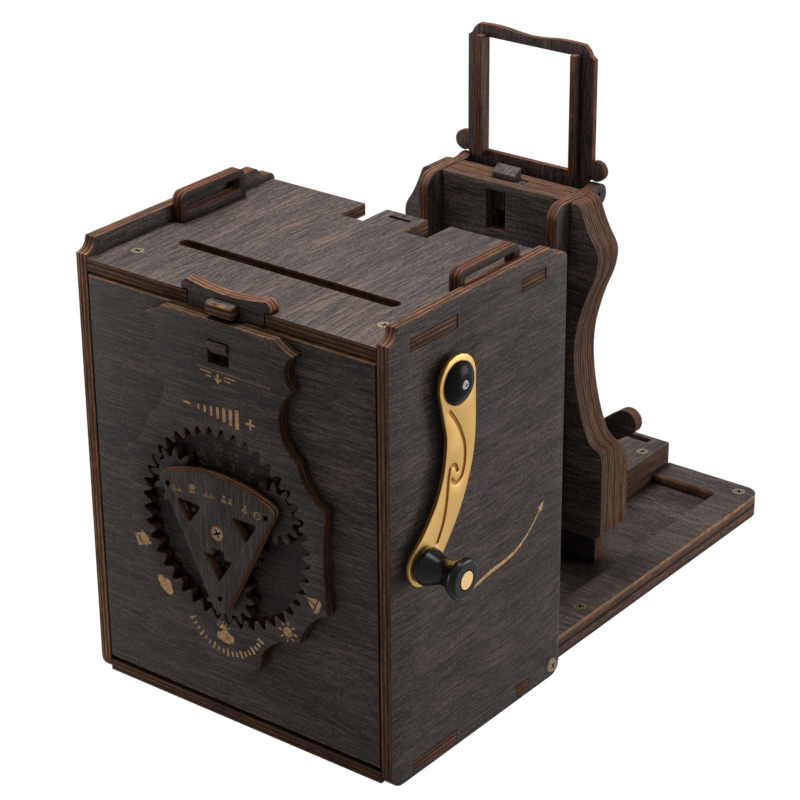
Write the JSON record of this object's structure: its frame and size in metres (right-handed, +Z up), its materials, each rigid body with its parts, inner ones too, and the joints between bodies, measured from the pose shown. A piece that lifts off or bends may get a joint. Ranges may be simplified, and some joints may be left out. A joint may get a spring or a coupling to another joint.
{
  "type": "folding pinhole camera",
  "caption": "Dark stained plywood pinhole camera for instant film, with a crank for the film rollers, a geared exposure dial on its back door, and a lens standard with a finder on a rail.",
  "frame": {"origin": "on the ground, on the mid-plane of the box, under the middle of the bed", "axes": "+Y is the way the camera looks, +Z is up, the crank is on the +X side and the door faces -Y"},
  "size_m": [0.1028, 0.171, 0.1383],
  "materials": {
    "stained_ply": "dark brown-black stain on plywood, fine grain, brown laser-cut edges",
    "inner_ply": "dark stain on plywood, matt",
    "gear_ply": "dark stain on plywood, brown laser-cut teeth",
    "gold_metal": "satin gold plate",
    "brass_hardware": "dull brass",
    "steel_hardware": "zinc plated steel",
    "black_gloss": "glossy black, turned",
    "roller_rubber": "matt rubber",
    "bellows_cloth": "black pleated cloth"
  },
  "bodies": {
    "camera_box": {"left_side_plate": "stained_ply", "right_side_plate": "stained_ply", "top_plate": "stained_ply", "floor_plate": "inner_ply", "film_gate": "inner_ply", "bellows_rear_frame": "inner_ply", "strap_lugs": "stained_ply", "film_guides": "inner_ply", "roller_cheeks": "inner_ply", "nip_springs": "steel_hardware", "top_cleats": "inner_ply", "plate_screws": "brass_hardware", "bed_base": "stained_ply", "bed_top": "stained_ply", "bed_rail": "stained_ply", "bed_pivot_screws": "brass_hardware", "crank_bush": "brass_hardware", "bellows": "bellows_cloth"},
    "back_door": {"door_panel": "stained_ply", "door_face": "stained_ply", "door_tab": "stained_ply", "door_grip": "stained_ply", "door_pins": "steel_hardware", "door_backing": "inner_ply", "film_spring": "brass_hardware", "dial_screw": "brass_hardware", "release_spring": "steel_hardware"},
    "release": {"release_slider": "inner_ply"},
    "dial": {"dial_carrier": "stained_ply", "planet_pins": "steel_hardware"},
    "planet_a": {"planet_gear_a": "gear_ply"},
    "planet_b": {"planet_gear_b": "gear_ply"},
    "planet_c": {"planet_gear_c": "gear_ply"},
    "sun": {"sun_gear": "gear_ply"},
    "crank": {"crank_arm": "gold_metal", "crank_cap": "black_gloss", "crank_screw": "steel_hardware", "crank_shaft": "steel_hardware", "knob_pin": "gold_metal"},
    "knob": {"crank_knob": "black_gloss"},
    "drive": {"drive_roller": "roller_rubber", "drive_axle": "steel_hardware"},
    "pinch": {"pinch_roller": "roller_rubber", "pinch_axle": "steel_hardware"},
    "standard": {"standard_back": "stained_ply", "standard_core": "stained_ply", "standard_middle": "stained_ply", "standard_front": "stained_ply", "lens_board": "stained_ply", "standard_flanges": "stained_ply", "bellows_front_frame": "inner_ply", "pinhole_plate": "brass_hardware", "finder_pivots": "steel_hardware", "lever_screw": "brass_hardware"},
    "finder": {"finder_frame": "stained_ply", "finder_walls": "stained_ply"},
    "slide_shutter": {"shutter_slide": "stained_ply"},
    "lever_shutter": {"shutter_lever": "stained_ply"}
  },
  "joints": [
    {"name": "door_hinge", "type": "hinge", "parent": "camera_box", "child": "back_door", "pos_m": [0, -0.11075, 0.0058], "axis": [1, 0, 0], "range_deg": [0, 85]},
    {"name": "release_press", "type": "slide", "parent": "back_door", "child": "release", "axis": [0, 0, -1], "range_m": [0, 0.0022], "stiffness_N_per_m": 120, "springref_m": -0.003, "deforming": ["release_spring"]},
    {"name": "dial_turn", "type": "hinge", "parent": "back_door", "child": "dial", "pos_m": [0, -0.11525, 0.0532], "axis": [0, 1, 0], "continuous": true},
    {"name": "planet_turn_a", "type": "hinge", "parent": "dial", "child": "planet_a", "pos_m": [0, -0.11375, 0.0367], "axis": [0, 1, 0], "continuous": true},
    {"name": "planet_turn_b", "type": "hinge", "parent": "dial", "child": "planet_b", "pos_m": [0.01429, -0.11375, 0.06145], "axis": [0, 1, 0], "continuous": true},
    {"name": "planet_turn_c", "type": "hinge", "parent": "dial", "child": "planet_c", "pos_m": [-0.01429, -0.11375, 0.06145], "axis": [0, 1, 0], "continuous": true},
    {"name": "sun_turn", "type": "hinge", "parent": "back_door", "child": "sun", "pos_m": [0, -0.11375, 0.0532], "axis": [0, 1, 0], "continuous": true},
    {"name": "crank_turn", "type": "hinge", "parent": "camera_box", "child": "crank", "pos_m": [0, -0.09175, 0.0932], "axis": [1, 0, 0], "continuous": true},
    {"name": "knob_spin", "type": "hinge", "parent": "crank", "child": "knob", "pos_m": [0, -0.10405, 0.0548], "axis": [1, 0, 0], "continuous": true},
    {"name": "drive_turn", "type": "hinge", "parent": "camera_box", "child": "drive", "pos_m": [0, -0.08775, 0.08536], "axis": [1, 0, 0], "continuous": true},
    {"name": "pinch_turn", "type": "hinge", "parent": "camera_box", "child": "pinch", "pos_m": [0, -0.09575, 0.08536], "axis": [1, 0, 0], "continuous": true},
    {"name": "standard_slide", "type": "slide", "parent": "camera_box", "child": "standard", "axis": [0, 1, 0], "range_m": [-0.037, 0.04], "deforming": ["bellows"]},
    {"name": "finder_fold", "type": "hinge", "parent": "standard", "child": "finder", "pos_m": [0, 0.00145, 0.1014], "axis": [-1, 0, 0], "range_deg": [0, 180]},
    {"name": "shutter_lift", "type": "slide", "parent": "standard", "child": "slide_shutter", "axis": [0, 0, 1], "range_m": [0, 0.008]},
    {"name": "lever_swing", "type": "hinge", "parent": "standard", "child": "lever_shutter", "pos_m": [0.014, 0.00515, 0.04], "axis": [0, 1, 0], "range_deg": [0, 30]}
  ],
  "couplings": [
    {"joint": "planet_turn_a", "follows": "dial_turn", "ratio": -3.5},
    {"joint": "planet_turn_b", "follows": "dial_turn", "ratio": -3.5},
    {"joint": "planet_turn_c", "follows": "dial_turn", "ratio": -3.5},
    {"joint": "sun_turn", "follows": "dial_turn", "ratio": 3.3333},
    {"joint": "drive_turn", "follows": "crank_turn", "ratio": -1.2},
    {"joint": "pinch_turn", "follows": "crank_turn", "ratio": 1.2}
  ]
}
